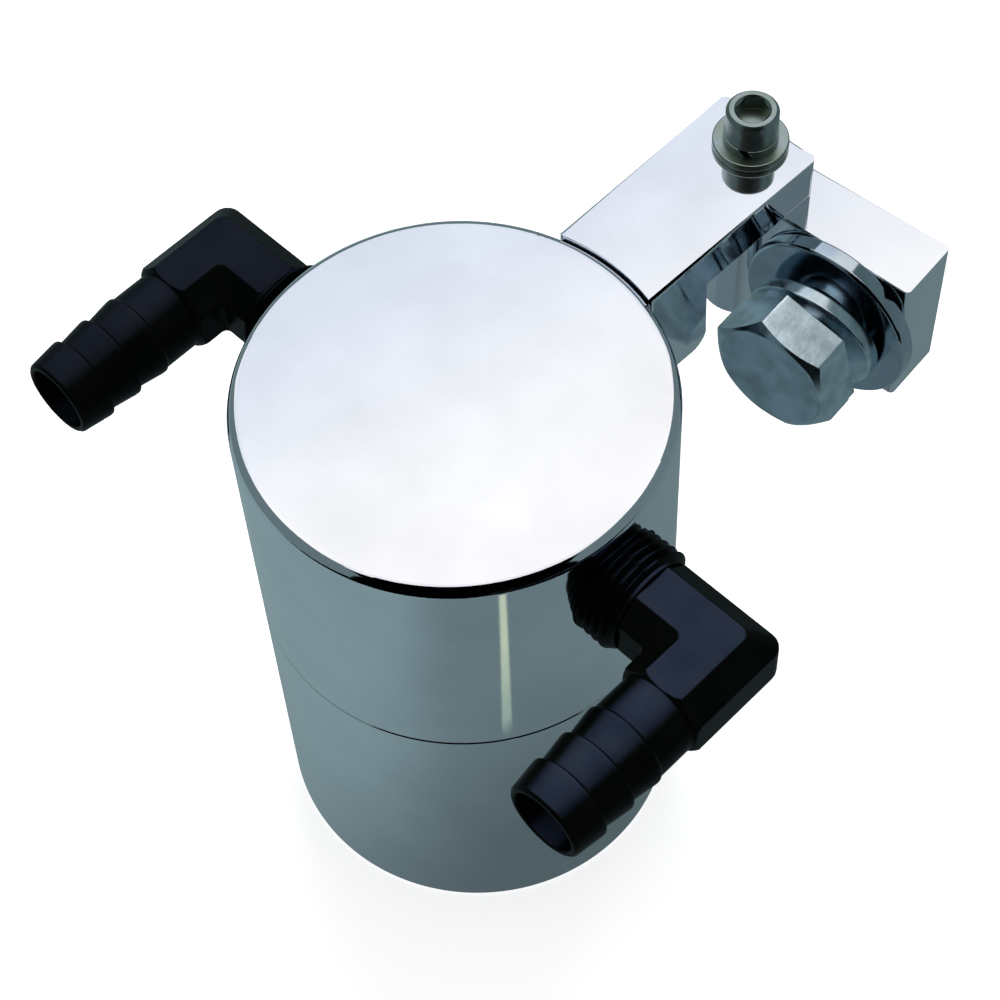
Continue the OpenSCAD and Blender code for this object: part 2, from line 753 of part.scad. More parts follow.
module bolt_spring_washer() {
    r_in = bolt_d / 2 + washer_gap;
    r_out = spring_d / 2;
    corners = [[r_in, 0], [r_out, 0], [r_out, spring_t], [r_in, spring_t]];
    points = [for (i = [0 : spring_steps], c = corners)
        let (a = spring_angle(i)) [c[0] * cos(a), c[0] * sin(a), c[1] + spring_off(i, c[0])]];
    sides = [for (i = [0 : spring_steps - 1], k = [0 : 3])
        let (a = 4 * i + k, b = 4 * i + (k + 1) % 4) [a, b, b + 4, a + 4]];
    ends = [[3, 2, 1, 0], [for (k = [0 : 3]) 4 * spring_steps + k]];
    color(steel) on_bolt_axis() translate([0, 0, head_seat + washer_slack - min(spring_rise())])
        polyhedron(points, [for (f = concat(sides, ends)) [for (k = [len(f) - 1 : -1 : 0]) f[k]]]);
}

// The flat washer, with its outer edges rounded as a stamped one's are.
module bolt_flat_washer() {
    color(steel) on_bolt_axis() translate([0, 0, washer_seat]) rotate_extrude() difference() {
        translate([bolt_d / 2 + washer_gap, 0])
            square([washer_d / 2 - bolt_d / 2 - washer_gap, washer_t]);
        translate([washer_d / 2 - washer_edge, washer_t - washer_edge]) corner_waste(washer_edge);
        translate([washer_d / 2 - washer_edge, washer_edge])
            mirror([0, 1]) corner_waste(washer_edge);
    }
}

upper_body();
lower_bowl();
bowl_seal();
inlet_elbow();
outlet_elbow();
drop_tube();
top_screen();
filter_pad();
baffle_plate();
standoffs();
baffle_screws();
bracket_arm();
foot_screws();
swing_link();
pivot_screw();
pivot_lock_washer();
pivot_washer();
mounting_bolt();
bolt_spring_washer();
bolt_flat_washer();
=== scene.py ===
import json
import math

import bmesh
import bpy
import numpy as np
from mathutils import Matrix, Vector


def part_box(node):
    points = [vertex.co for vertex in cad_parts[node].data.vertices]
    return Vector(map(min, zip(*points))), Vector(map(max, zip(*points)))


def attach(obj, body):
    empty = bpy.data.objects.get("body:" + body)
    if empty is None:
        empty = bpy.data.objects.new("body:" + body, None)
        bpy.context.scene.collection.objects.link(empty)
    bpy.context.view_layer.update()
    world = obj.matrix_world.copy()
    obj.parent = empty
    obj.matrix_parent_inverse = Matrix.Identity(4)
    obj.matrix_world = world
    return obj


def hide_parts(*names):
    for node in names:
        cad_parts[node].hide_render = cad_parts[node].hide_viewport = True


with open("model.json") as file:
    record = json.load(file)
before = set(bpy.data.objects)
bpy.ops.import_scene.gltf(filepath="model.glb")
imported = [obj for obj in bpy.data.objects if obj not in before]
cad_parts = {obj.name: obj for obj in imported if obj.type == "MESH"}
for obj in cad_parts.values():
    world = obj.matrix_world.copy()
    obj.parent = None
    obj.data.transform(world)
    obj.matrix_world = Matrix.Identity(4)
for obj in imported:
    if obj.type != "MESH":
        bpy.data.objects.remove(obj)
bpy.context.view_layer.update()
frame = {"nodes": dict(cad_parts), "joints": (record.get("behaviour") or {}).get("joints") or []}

MM = 0.001

# Camera
# It stands where the photograph was taken from: turned about the can's axis
# from the bracket arm, looking steeply down, and tilted a little.
CAMERA_TURN = math.radians(47.3)
CAMERA_RISE = math.radians(57.6)
CAMERA_TILT = math.radians(-3.44)
CAMERA_AWAY = 378.9 * MM
CAMERA_LENS = 92.34
AIM_ASIDE, AIM_BELOW = 5.56 * MM, 27.65 * MM
CAN_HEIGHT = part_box("upper_body")[1].z


def put_in_scene(name, data):
    """A new object of the scene that holds this camera, lamp or mesh."""
    thing = bpy.data.objects.new(name, data)
    bpy.context.scene.collection.objects.link(thing)
    return thing


camera_side = Matrix.Rotation(CAMERA_TURN, 3, "Z")
look_at = camera_side @ Vector((AIM_ASIDE, 0.0, -AIM_BELOW)) + Vector((0.0, 0.0, CAN_HEIGHT))
ahead = camera_side @ Vector((0.0, math.cos(CAMERA_RISE), -math.sin(CAMERA_RISE)))
level = camera_side @ Vector((1.0, 0.0, 0.0))
upright = level.cross(ahead)
right = math.cos(CAMERA_TILT) * level + math.sin(CAMERA_TILT) * upright
top = -math.sin(CAMERA_TILT) * level + math.cos(CAMERA_TILT) * upright
camera_data = bpy.data.cameras.new("camera")
camera_data.lens = CAMERA_LENS
camera_data.sensor_width = 36.0
camera_data.clip_start = 0.01
camera = put_in_scene("camera", camera_data)
camera.matrix_world = Matrix.Translation(look_at - CAMERA_AWAY * ahead) @ Matrix(
    (right, top, -ahead)).transposed().to_4x4()
bpy.context.scene.camera = camera

# Studio
# A white floor and surround, and one broad soft lamp. Polished metal also mirrors
# cards that nothing else sees: grey boards under and beside the can, the floor board with a painted
# shadow round the can's foot, black cards low behind the camera, a pale strip on the floor, a sky card
# over the far side.
bpy.context.scene.view_settings.view_transform = "Standard"
SURROUND_LIGHT = 0.55
FLOOR_SIZE, FLOOR_PAINT, FLOOR_GLOW = 6.0, 0.80, 0.62
LAMP_PLACE, LAMP_AIM, LAMP_SIZE, LAMP_POWER = (-0.5, 0.6, 1.1), (0, 0, 0.05), 0.7, 9.0
# Middle, inner reach and outer reach of the painted shadow that darkens the grey floor board round the
# can's foot.
FOOT_SHADOW_MIDDLE, FOOT_SHADOW_NEAR, FOOT_SHADOW_FAR = (0.012, -0.026, 0.0), 0.010, 0.048


def seen_directly(nodes, links):
    """1 for camera, glossy and transmission rays, 0 for the rays that only carry light."""
    path = nodes.new("ShaderNodeLightPath")
    seen = path.outputs["Is Camera Ray"]
    for ray in ("Is Glossy Ray", "Is Transmission Ray"):
        either = nodes.new("ShaderNodeMath")
        either.operation = "MAXIMUM"
        links.new(seen, either.inputs[0])
        links.new(path.outputs[ray], either.inputs[1])
        seen = either.outputs[0]
    return seen


def make_surround():
    """The world: white where it is seen or mirrored, dimmer as a source of light."""
    world = bpy.data.worlds.new("surround")
    bpy.context.scene.world = world
    world.use_nodes = True
    nodes, links = world.node_tree.nodes, world.node_tree.links
    shade = nodes["Background"]
    strength = nodes.new("ShaderNodeMapRange")
    strength.inputs["To Min"].default_value = SURROUND_LIGHT
    strength.inputs["To Max"].default_value = 1.0
    links.new(seen_directly(nodes, links), strength.inputs["Value"])
    links.new(strength.outputs["Result"], shade.inputs["Strength"])
    shade.inputs["Color"].default_value = (1.0, 1.0, 1.0, 1.0)


def new_finish(name):
    """A new material, with its nodes, its links and its main shader."""
    finish = bpy.data.materials.new(name)
    finish.use_nodes = True
    nodes, links = finish.node_tree.nodes, finish.node_tree.links
    return finish, nodes, links, nodes["Principled BSDF"]


def make_floor():
    """A flat white floor: its paint takes the shadow, and a glow where it is seen lifts it to white."""
    mesh = bpy.data.meshes.new("floor")
    half = FLOOR_SIZE / 2
    mesh.from_pydata([(-half, -half, 0), (half, -half, 0), (half, half, 0), (-half, half, 0)], [],
                     [(0, 1, 2, 3)])
    floor = put_in_scene("floor", mesh)
    paint, nodes, links, shader = new_finish("white_floor")
    shader.inputs["Base Color"].default_value = (FLOOR_PAINT, FLOOR_PAINT, FLOOR_PAINT, 1.0)
    shader.inputs["Roughness"].default_value = 0.9
    shader.inputs["Specular IOR Level"].default_value = 0.0
    shader.inputs["Emission Color"].default_value = (1.0, 1.0, 1.0, 1.0)
    glow = nodes.new("ShaderNodeMath")
    glow.operation = "MULTIPLY"
    glow.inputs[1].default_value = FLOOR_GLOW
    links.new(seen_directly(nodes, links), glow.inputs[0])
    links.new(glow.outputs[0], shader.inputs["Emission Strength"])
    mesh.materials.append(paint)


def make_lamp(name, place, aim, size, power):
    """A square area lamp at place that faces aim and that mirrors don't see."""
    data = bpy.data.lights.new(name, "AREA")
    data.size = size
    data.energy = power
    lamp = put_in_scene(name, data)
    lamp.location = place
    lamp.rotation_euler = (Vector(aim) - Vector(place)).to_track_quat("-Z", "Y").to_euler()
    lamp.visible_glossy = False


def make_card(name, corners, faces, near, far, start, end, axis, foot_shadow=0.0):
    """A card that only mirrors see, in the camera's own turn. Its tone runs from near to far
    as the coordinate along axis goes from start to end; a painted shadow, by the share in the last
    argument, darkens it round the can's foot."""
    mesh = bpy.data.meshes.new(name)
    mesh.from_pydata([camera_side @ Vector(p) for p in corners], [], faces)
    card = put_in_scene(name, mesh)
    paint, nodes, links, shader = new_finish(name + "_paint")
    shader.inputs["Base Color"].default_value = (0, 0, 0, 1)
    shader.inputs["Specular IOR Level"].default_value = 0.0
    shader.inputs["Emission Strength"].default_value = 1.0
    where = nodes.new("ShaderNodeTexCoord")
    along = nodes.new("ShaderNodeVectorMath")
    along.operation = "DOT_PRODUCT"
    along.inputs[1].default_value = camera_side @ Vector(axis)
    ramp = nodes.new("ShaderNodeMapRange")
    ramp.interpolation_type = "SMOOTHSTEP"
    ramp.inputs["From Min"].default_value = start
    ramp.inputs["From Max"].default_value = end
    tone = nodes.new("ShaderNodeMix")
    tone.data_type = "RGBA"
    tone.inputs["A"].default_value = (*near, 1)
    tone.inputs["B"].default_value = (*far, 1)
    reach = nodes.new("ShaderNodeVectorMath")
    reach.operation = "DISTANCE"
    reach.inputs[1].default_value = camera_side @ Vector(FOOT_SHADOW_MIDDLE)
    # Painted shadow: the card's glow falls off towards the can's foot.
    foot = nodes.new("ShaderNodeMapRange")
    foot.interpolation_type = "SMOOTHSTEP"
    foot.inputs["From Min"].default_value = FOOT_SHADOW_NEAR
    foot.inputs["From Max"].default_value = FOOT_SHADOW_FAR
    foot.inputs["To Min"].default_value = 1.0 - foot_shadow
    shade = nodes.new("ShaderNodeVectorMath")
    shade.operation = "SCALE"
    links.new(where.outputs["Object"], along.inputs[0])
    links.new(where.outputs["Object"], reach.inputs[0])
    links.new(reach.outputs["Value"], foot.inputs["Value"])
    links.new(along.outputs["Value"], ramp.inputs["Value"])
    links.new(ramp.outputs["Result"], tone.inputs["Factor"])
    links.new(tone.outputs["Result"], shade.inputs[0])
    links.new(foot.outputs["Result"], shade.inputs["Scale"])
    links.new(shade.outputs[0], shader.inputs["Emission Color"])
    mesh.materials.append(paint)
    card.visible_camera = False
    card.visible_diffuse = False
    card.visible_shadow = False
    card.visible_transmission = False


def board_corners(half, base, low, tall):
    """Corners and faces of an open box: a square board on the floor, low boards in front and behind,
    and tall boards on the left and right."""
    flat = [(-half, -half), (half, -half), (half, half), (-half, half)]
    corners = [(x, y, z) for z in (base, low, tall) for x, y in flat]
    return corners, [(0, 1, 2, 3), (0, 1, 5, 4), (2, 3, 7, 6), (1, 2, 10, 9), (3, 0, 8, 11)]


make_surround()
make_floor()
make_lamp("key_lamp", LAMP_PLACE, LAMP_AIM, LAMP_SIZE, LAMP_POWER)

BOARD_GREY = (0.142, 0.200, 0.212)
BOARD_HALF, BOARD_Z, BOARD_LOW, BOARD_TALL = 1.2, 0.4 * MM, 0.75, 2.4
ASIDE = (1, 0, 0)


def board_grey(share):
    """The boards' grey at a share of its brightness."""
    return [share * c for c in BOARD_GREY]


corners, faces = board_corners(BOARD_HALF, BOARD_Z, BOARD_LOW, BOARD_TALL)
# The floor board carries a painted shadow round the can's foot, which takes up to 0.38 of its glow away.
make_card("grey_floor", corners[:4], faces[:1], near=board_grey(1.6), far=board_grey(1.08),
          start=-0.055, end=-0.005, axis=ASIDE, foot_shadow=0.38)
make_card("grey_walls", corners, faces[1:], near=board_grey(0.95), far=board_grey(1.0),
          start=-0.10, end=0.09, axis=ASIDE)

BLACK = (0, 0, 0)
BLACK_ROWS = ((0.8, -0.15, 0.002), (0.95, -0.95, 0.002), (0.95, -0.95, 1.0), (0.6, -0.30, 1.15))
black_points = [(side * x, y, z) for x, y, z in BLACK_ROWS for side in (-1, 1)]
make_card("black_cards", black_points, [(k, k + 1, k + 3, k + 2) for k in (0, 2, 4)],
          near=BLACK, far=BLACK, start=0, end=1, axis=ASIDE)

STRIP_NEAR, STRIP_FAR, STRIP_HALF, STRIP_Z = (0.0130, -0.0600), (0.0245, -0.0885), 0.0024, 0.001
strip_points = [(x + side * STRIP_HALF, y, STRIP_Z) for x, y in (STRIP_NEAR, STRIP_FAR)
                for side in (-1, 1)]
make_card("pale_strip", strip_points, [(0, 1, 3, 2)], near=(0.32, 0.43, 0.36), far=(0.58, 0.68, 0.50),
          start=0.060, end=0.078, axis=(0, -1, 0))

SKY_AWAY, SKY_HALF = 0.5, 0.3
sky_middle = Vector((0.0, math.cos(CAMERA_RISE), math.sin(CAMERA_RISE))) * SKY_AWAY
sky_middle.z += CAN_HEIGHT
sky_up = Vector((0.0, -math.sin(CAMERA_RISE), math.cos(CAMERA_RISE)))
sky_points = [sky_middle + Vector((x * SKY_HALF, 0, 0)) + y * SKY_HALF * sky_up
              for x, y in ((-1, -1), (1, -1), (1, 1), (-1, 1))]
make_card("sky_card", sky_points, [(0, 1, 2, 3)], near=(0.850, 0.905, 0.985), far=(1.160, 1.145, 1.100),
          start=0.165, end=0.265, axis=(0.35, -0.55, 0.75))

# Upper body of the can
# Turned from a bar of aluminium and mirror polished, with a rounded rim and a
# port on each side. The bowl screws into it from below.
ALUMINIUM = (0.86, 0.875, 0.93, 1.0)
BUFF_SCALE, BUMP_DEEP = 600.0, 0.1 * MM


def new_group(name, inputs, outputs):
    """An empty shader node group with the named sockets: (name, type, default) and (name, type)."""
    tree = bpy.data.node_groups.new(name, "ShaderNodeTree")
    for label, kind, value in inputs:
        socket = tree.interface.new_socket(label, in_out="INPUT", socket_type=kind)
        socket.default_value = value
    for label, kind in outputs:
        tree.interface.new_socket(label, in_out="OUTPUT", socket_type=kind)
    entry = tree.nodes.new("NodeGroupInput")
    leave = tree.nodes.new("NodeGroupOutput")
    return tree, entry, leave


def make_polish_group():
    """Buffing marks: fine short scratches for the height, and a slow cloud for the gloss."""
    tree, entry, leave = new_group(
        "buffing_marks",
        [("Scale", "NodeSocketFloat", 400.0), ("Gloss", "NodeSocketFloat", 0.05),
         ("Spread", "NodeSocketFloat", 0.05)],
        [("Roughness", "NodeSocketFloat"), ("Height", "NodeSocketFloat")])
    where = tree.nodes.new("ShaderNodeTexCoord")
    stretch = tree.nodes.new("ShaderNodeMapping")
    stretch.inputs["Scale"].default_value = (1.0, 1.0, 12.0)
    fine = tree.nodes.new("ShaderNodeTexNoise")
    fine.inputs["Detail"].default_value = 4.0
    cloud = tree.nodes.new("ShaderNodeTexNoise")
    cloud.inputs["Scale"].default_value = 60.0
    cloud.inputs["Detail"].default_value = 5.0
    tree.links.new(where.outputs["Object"], stretch.inputs["Vector"])
    tree.links.new(stretch.outputs["Vector"], fine.inputs["Vector"])
    tree.links.new(entry.outputs["Scale"], fine.inputs["Scale"])
    tree.links.new(where.outputs["Object"], cloud.inputs["Vector"])
    spread = tree.nodes.new("ShaderNodeMath")
    spread.operation = "MULTIPLY_ADD"
    tree.links.new(cloud.outputs["Fac"], spread.inputs[0])
    tree.links.new(entry.outputs["Spread"], spread.inputs[1])
    tree.links.new(entry.outputs["Gloss"], spread.inputs[2])
    tree.links.new(spread.outputs[0], leave.inputs["Roughness"])
    tree.links.new(fine.outputs["Fac"], leave.inputs["Height"])
    return tree


def make_tone_group():
    """One colour of a finish, darkened here and there by a noise towards a second colour."""
    tree, entry, leave = new_group(
        "finish_tone",
        [("Clean Color", "NodeSocketColor", (0.8, 0.8, 0.8, 1)),
         ("Stained Color", "NodeSocketColor", (0.5, 0.5, 0.5, 1)),
         ("Cloud Scale", "NodeSocketFloat", 80.0), ("Low", "NodeSocketFloat", 0.35),
         ("High", "NodeSocketFloat", 0.75)],
        [("Color", "NodeSocketColor")])
    where = tree.nodes.new("ShaderNodeTexCoord")
    cloud = tree.nodes.new("ShaderNodeTexNoise")
    cloud.inputs["Detail"].default_value = 6.0
    level = tree.nodes.new("ShaderNodeMapRange")
    tone = tree.nodes.new("ShaderNodeMix")
    tone.data_type = "RGBA"
    tree.links.new(where.outputs["Object"], cloud.inputs["Vector"])
    tree.links.new(entry.outputs["Cloud Scale"], cloud.inputs["Scale"])
    tree.links.new(cloud.outputs["Fac"], level.inputs["Value"])
    tree.links.new(entry.outputs["Low"], level.inputs["From Min"])
    tree.links.new(entry.outputs["High"], level.inputs["From Max"])
    tree.links.new(level.outputs["Result"], tone.inputs["Factor"])
    tree.links.new(entry.outputs["Clean Color"], tone.inputs["A"])
    tree.links.new(entry.outputs["Stained Color"], tone.inputs["B"])
    tree.links.new(tone.outputs["Result"], leave.inputs["Color"])
    return tree


POLISH = make_polish_group()
TONE = make_tone_group()


def placed(nodes, tree, **values):
    """A group node of that tree with its inputs set."""
    node = nodes.new("ShaderNodeGroup")
    node.node_tree = tree
    for label, value in values.items():
        node.inputs[label.replace("_", " ")].default_value = value
    return node


def add_marks(nodes, links, shader, scale, gloss, spread, bump, deep=BUMP_DEEP):
    """Gives a finish its fine marks: their cloud sets its gloss, and their height raises bumps."""
    marks = placed(nodes, POLISH, Scale=scale, Gloss=gloss, Spread=spread)
    rough = nodes.new("ShaderNodeBump")
    rough.inputs["Strength"].default_value = bump
    rough.inputs["Distance"].default_value = deep
    links.new(marks.outputs["Roughness"], shader.inputs["Roughness"])
    links.new(marks.outputs["Height"], rough.inputs["Height"])
    links.new(rough.outputs["Normal"], shader.inputs["Normal"])


def metal_finish(name, clean, stained, cloud, gloss, spread, bump):
    """A metal that mirrors its surroundings, stained in clouds that are the finer the larger cloud is,
    with buffing marks in its gloss and height."""
    finish, nodes, links, shader = new_finish(name)
    shader.inputs["Metallic"].default_value = 1.0
    tone = placed(nodes, TONE, Clean_Color=clean, Stained_Color=stained, Cloud_Scale=cloud)
    links.new(tone.outputs["Color"], shader.inputs["Base Color"])
    add_marks(nodes, links, shader, BUFF_SCALE, gloss, spread, bump)
    return finish


def darker(colour, share):
    """The same colour at a share of its brightness."""
    return tuple(c * share for c in colour[:3]) + (1.0,)


POLISHED = metal_finish("polished_aluminium", ALUMINIUM, darker(ALUMINIUM, 0.90),
                        cloud=70.0, gloss=0.03, spread=0.05, bump=0.03)


def dress(piece, finish, body):
    """Gives a finished piece its material and the body that it rides on."""
    piece.data.materials.clear()
    piece.data.materials.append(finish)
    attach(piece, body)


def settled(mesh, crease):
    """Smooth faces with sharp edges where two faces turn by more than the crease angle."""
    for face in mesh.faces:
        face.smooth = True
    for join in mesh.edges:
        join.smooth = len(join.link_faces) == 2 and join.calc_face_angle() < crease


def eased_copy(node, edge, shortest=0.0, crease=math.radians(35)):
    """A copy of a CAD node with its triangles merged into clean faces. The sharp edges that are longer
    than shortest are broken by a bevel of width edge, which short edges limit only if shortest is 0."""
    piece = frame["nodes"][node].copy()
    piece.data = frame["nodes"][node].data.copy()
    piece.name = node + "_dressed"
    piece.parent = None
    bpy.context.scene.collection.objects.link(piece)
    mesh = bmesh.new()
    mesh.from_mesh(piece.data)
    bmesh.ops.remove_doubles(mesh, verts=mesh.verts, dist=0.002 * MM)
    bmesh.ops.dissolve_limit(mesh, angle_limit=math.radians(0.3), verts=mesh.verts, edges=mesh.edges)
    settled(mesh, crease)
    weight = mesh.edges.layers.float.new("bevel_weight_edge")
    for join in mesh.edges:
        join[weight] = float(not join.smooth and join.calc_length() > shortest)
    mesh.to_mesh(piece.data)
    mesh.free()
    if edge:
        bevel = piece.modifiers.new("broken_edges", "BEVEL")
        bevel.width = edge
        bevel.segments = 4
        bevel.limit_method = "WEIGHT"
        bevel.use_clamp_overlap = shortest == 0.0
    steady = piece.modifiers.new("steady_normals", "WEIGHTED_NORMAL")
    steady.keep_sharp = True
    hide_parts(node)
    return piece


dress(eased_copy("upper_body", edge=0.0), POLISHED, "can_body")

# Lower bowl
# The cup that the oil collects in, turned and polished like the upper body. A
# threaded neck screws up inside it, over the groove that holds the seal.
BOWL_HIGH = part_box("lower_bowl")[1]
CAN_R = BOWL_HIGH.x
SEAM_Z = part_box("upper_body")[0].z
SEAL_LOW, SEAL_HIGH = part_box("bowl_seal")
NECK_R = SEAL_HIGH.x
SEAL_ROOM = 0.1 * MM
NECK_PITCH = 2.0 * MM
NECK_THREAD_DEEP = 0.8 * MM
NECK_PLAIN, NECK_LEAD = 0.8 * MM, 1.0 * MM
BOWL_BORE_R = NECK_R - 2.95 * MM
BOWL_FLOOR = 4.0 * MM
BOWL_FOOT_EDGE, SEAM_EDGE, SEAM_GAP = 0.6 * MM, 0.15 * MM, 0.2 * MM
BOWL_EASE_OUT, BOWL_EASE_IN = 0.06 * MM, 0.3 * MM
CREST_SHARE, FLANK_SHARE = 0.06, 0.38


def ringed_piece(name, rings, node, joined=False, crease=math.radians(32)):
    """A closed skin over rings of points: quad (i, j) joins points j and j + 1 of ring i to those of
    ring i + 1, and with joined the last ring meets the first. Rings of no size close as poles."""
    count, around = rings.shape[:2]
    i = np.arange(count if joined else count - 1)[:, None]
    j = np.arange(around)[None, :]
    after_i, after_j = (i + 1) % count, (j + 1) % around
    quads = np.stack(np.broadcast_arrays(i * around + j, i * around + after_j,
                                         after_i * around + after_j, after_i * around + j), axis=-1)
    data = bpy.data.meshes.new(name)
    data.from_pydata(rings.reshape(-1, 3).tolist(), [], quads.reshape(-1, 4).tolist())
    mesh = bmesh.new()
    mesh.from_mesh(data)
    bmesh.ops.remove_doubles(mesh, verts=mesh.verts, dist=0.0005 * MM)
    bmesh.ops.dissolve_degenerate(mesh, edges=mesh.edges, dist=0.0005 * MM)
    bmesh.ops.recalc_face_normals(mesh, faces=mesh.faces)
    settled(mesh, crease)
    mesh.to_mesh(data)
    mesh.free()
    piece = put_in_scene(name, data)
    steady = piece.modifiers.new("steady_normals", "WEIGHTED_NORMAL")
    steady.keep_sharp = True
    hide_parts(node)
    return piece


def eased(profile, ease):
    """A line of (r, z) points with each inner corner P turned into three points of the quadratic curve
    that leaves the line ease before P and joins it again ease after."""
    line = np.asarray(profile, float)
    before, corner, after = line[:-2], line[1:-1], line[2:]
    back, on = before - corner, after - corner
    back_l, on_l = (np.linalg.norm(v, axis=1, keepdims=True) for v in (back, on))
    reach = np.minimum(ease, 0.45 * np.minimum(back_l, on_l))
    first, last = corner + back / back_l * reach, corner + on / on_l * reach
    middle = 0.25 * first + 0.5 * corner + 0.25 * last
    bends = np.stack([first, middle, last], axis=1).reshape(-1, 2)
    return np.vstack([line[:1], bends, line[-1:]])


def thread_depth(turns):
    """Share of the thread's depth at a place, counted in turns: 0 on the crest at a half turn,
    1 in the root, with straight flanks between."""
    return np.clip((np.abs(turns % 1.0 - 0.5) - CREST_SHARE) / FLANK_SHARE, 0.0, 1.0)


def lathe_rings(profile, angles):
    """Rings (r cos a, r sin a, z) of a turned form, where r is one value or one for each angle."""
    r, z = np.broadcast_arrays(*(np.asarray(v, float) for v in profile))
    r, z = (v if v.ndim == 2 else v[:, None] * np.ones(len(angles)) for v in (r, z))
    return np.stack([r * np.cos(angles), r * np.sin(angles), z], axis=-1)


def make_bowl():
    """The outline (r, z) turned about the axis, with a right-hand thread cut into the neck:
    r = crest - depth * share(z / pitch - angle / turn)."""
    angles = np.linspace(0, 2 * math.pi, 240, endpoint=False)
    bowl_top = SEAM_Z - SEAM_GAP
    groove_low, groove_high = SEAL_LOW.z - SEAL_ROOM, SEAL_HIGH.z + SEAL_ROOM
    groove_r = NECK_R - (SEAL_HIGH.z - SEAL_LOW.z) - SEAL_ROOM
    thread_low, thread_high = groove_high + NECK_PLAIN, BOWL_HIGH.z - NECK_LEAD
    outside = eased([(0, 0), (CAN_R - BOWL_FOOT_EDGE, 0), (CAN_R, BOWL_FOOT_EDGE),
                     (CAN_R, bowl_top - SEAM_EDGE), (CAN_R - SEAM_EDGE, bowl_top), (NECK_R, bowl_top),
                     (NECK_R, groove_low), (groove_r, groove_low), (groove_r, groove_high),
                     (NECK_R, groove_high), (NECK_R, thread_low)], BOWL_EASE_OUT)
    inside = eased([(NECK_R - NECK_LEAD, BOWL_HIGH.z), (BOWL_BORE_R, BOWL_HIGH.z),
                    (BOWL_BORE_R, BOWL_FLOOR), (0, BOWL_FLOOR)], BOWL_EASE_IN)
    z = np.linspace(thread_low, thread_high, 60)[:, None]
    fade = np.clip((z - thread_low) / NECK_PITCH, 0, 1)
    cut = NECK_THREAD_DEEP * fade * thread_depth(z / NECK_PITCH - angles / (2 * math.pi))
    thread = lathe_rings((NECK_R - cut, z * np.ones_like(angles)), angles)
    return np.concatenate([lathe_rings(outside.T, angles), thread, lathe_rings(inside.T, angles)])


dress(ringed_piece("lower_bowl_dressed", make_bowl(), "lower_bowl"), POLISHED, "bowl")

# Elbow fittings
# Moulded in black glass-filled nylon: an eight-sided bend with a taper thread
# on one end and three barbs for the hose on the other. The threads are both
# right-handed, although the two fittings mirror each other.
ELBOW_LOW, ELBOW_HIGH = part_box("inlet_elbow")
BODY_R = 6.75 * MM
BODY_FLAT = 3.2 * MM
BODY_SHARP = 110.0
PORT_Z = CAN_HEIGHT - 14.0 * MM
HOSE_X = ELBOW_HIGH.x - BODY_R
TIP_Y = -ELBOW_LOW.y
BODY_X = HOSE_X - 11.85 * MM
BODY_REACH = 11.2 * MM
BEND_R, BEND_MORE = 1.0 * MM, 1.4
EDGE = 0.3 * MM
BORE_R = 5.1 * MM
TAPER_R = 8.55 * MM
TAPER_PITCH = 1.41 * MM
TAPER_TURNS = 10
TAPER_DEEP = 1.1 * MM
TAPER = 1 / 32
PLUG_LEAD, THREAD_RUNOUT = 0.7 * MM, 0.6 * MM
COLLAR, COLLAR_EDGE = 0.6 * MM, 0.12 * MM
ARCH_LONG, ARCH_LOW, ARCH_RISE, ARCH_POWER = 0.9 * MM, 0.35 * MM, 0.75 * MM, 0.6
BARB_ROOT, BARB_TOP, BARB_TIP, NECK = 6.05 * MM, 6.7 * MM, 6.15 * MM, 6.4 * MM
NECK_LONG, BARB_PITCH, BARB_STEP, BARB_LAND = 6.4 * MM, 5.25 * MM, 0.4 * MM, 0.5 * MM
NECK_EDGE, TIP_EDGE, BORE_EDGE, BARB_EASE = 0.15 * MM, 0.4 * MM, 0.2 * MM, 0.1 * MM


def corner_rich(corners, steps):
    """Angles round a section: an even set, and a close set on each side of every corner."""
    even = np.linspace(0, 360, steps, endpoint=False)
    close = np.array([-6, -4, -2.6, -1.6, -0.8, 0, 0.8, 1.6, 2.6, 4, 6])
    near = (np.asarray(corners)[:, None] + close).ravel()
    far = even[np.abs((even[:, None] - near + 180) % 360 - 180).min(axis=1) > 0.9]
    return np.radians(np.sort(np.concatenate([near % 360, far])))


def many_sided(angles, sides, depths, sharp):
    """Reach of a many-sided section in each direction: (sum of (cos(a - a_k) / d_k) ^ p) ^ (-1 / p),
    which is the nearest side, with its corners rounded the more the smaller p is."""
    facing = np.cos(angles[:, None] - np.radians(sides))
    return (np.maximum(facing / depths, 0) ** sharp).sum(axis=1) ** (-1 / sharp)


